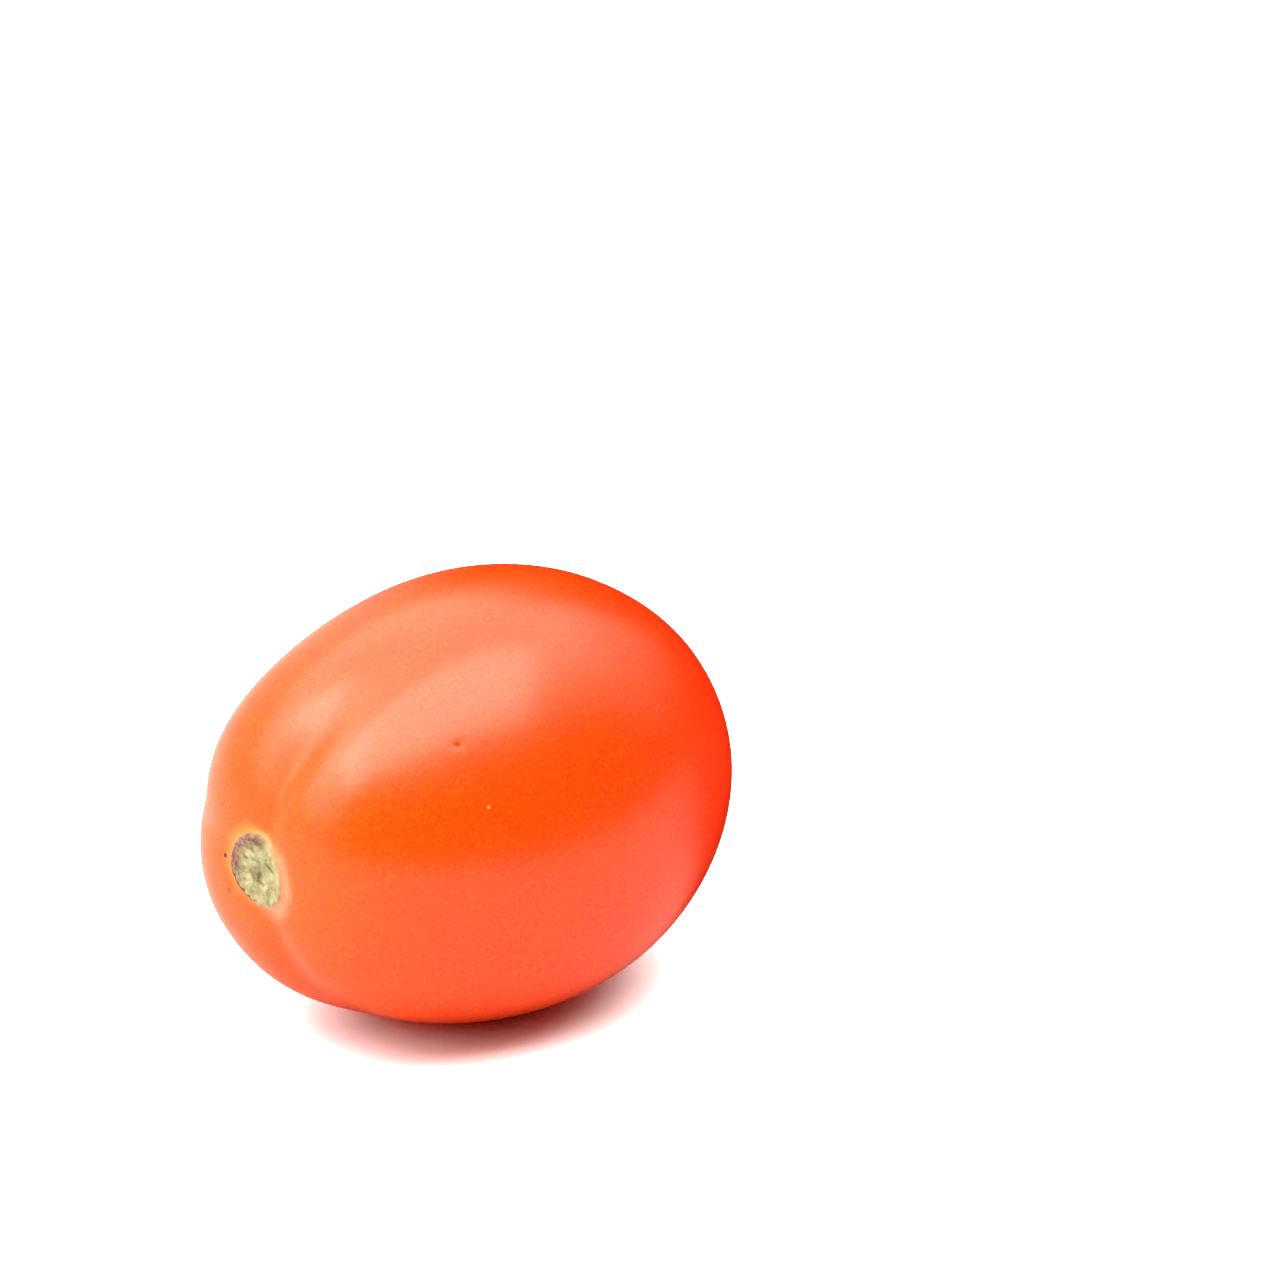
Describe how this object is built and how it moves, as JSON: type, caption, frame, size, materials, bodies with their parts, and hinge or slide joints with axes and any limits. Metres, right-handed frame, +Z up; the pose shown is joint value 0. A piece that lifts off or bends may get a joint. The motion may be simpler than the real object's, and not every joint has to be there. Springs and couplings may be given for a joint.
{
  "type": "tomato",
  "caption": "Ripe plum tomato without its stalk, with a corky stem scar, soft lobes and a dimple at the blossom end.",
  "frame": {"origin": "on the surface that the fruit lies on, under the middle of its bounding box", "axes": "+X along the fruit from the stem scar to the blossom end, +Z up, away from the flat spot that it rests on"},
  "size_m": [0.0644, 0.05, 0.0493],
  "materials": {
    "tomato_skin": "gloss"
  },
  "bodies": {
    "root": {"tomato": "tomato_skin"}
  },
  "joints": []
}
